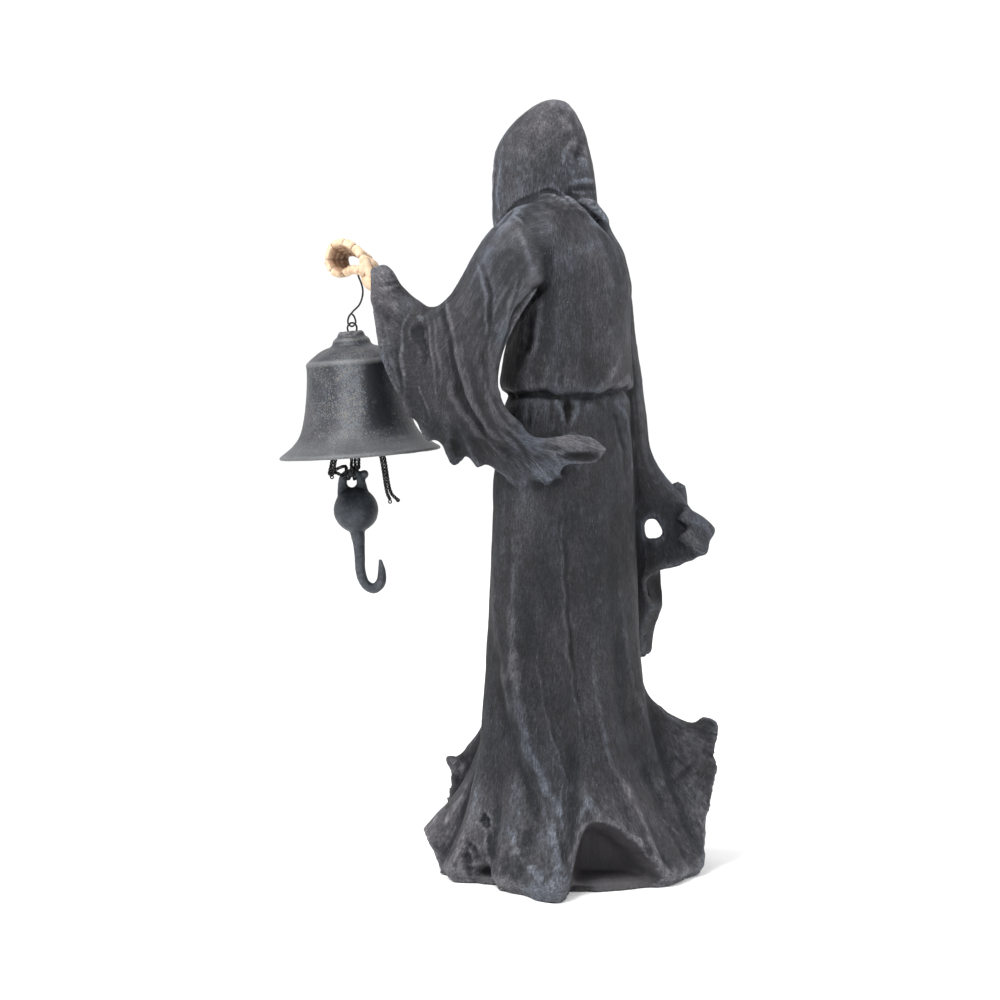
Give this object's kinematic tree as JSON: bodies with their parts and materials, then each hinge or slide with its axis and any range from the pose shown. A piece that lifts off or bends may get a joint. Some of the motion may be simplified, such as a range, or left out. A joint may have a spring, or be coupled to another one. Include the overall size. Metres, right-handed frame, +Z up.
{
  "type": "grim reaper figurine with hanging bell",
  "caption": "Hooded skeletal figure in a long flared robe, holding out a bell on a wire hook from its raised left hand.",
  "frame": {"origin": "middle of the underside, under the figure's body", "axes": "+Z up; the figure faces -Y; +X is towards its left hand, which holds the bell"},
  "size_m": [0.1625, 0.216, 0.4],
  "materials": {
    "painted_resin": "matt charcoal paint, dry-brushed light blue-grey on the raised cloth, almost black in the folds",
    "bone_paint": "cream bone paint with brown wash in the joints",
    "painted_iron": "worn charcoal paint with a speckled grey-blue patina, lighter on the lip",
    "black_wire": "satin black"
  },
  "bodies": {
    "root": {"robed_figure": "painted_resin", "skull": "bone_paint", "left_hand": "bone_paint", "right_hand": "bone_paint", "finger_hook": "black_wire", "bell_ring": "black_wire", "bell": "painted_iron", "clapper": "painted_iron", "chains": "black_wire"}
  },
  "joints": []
}
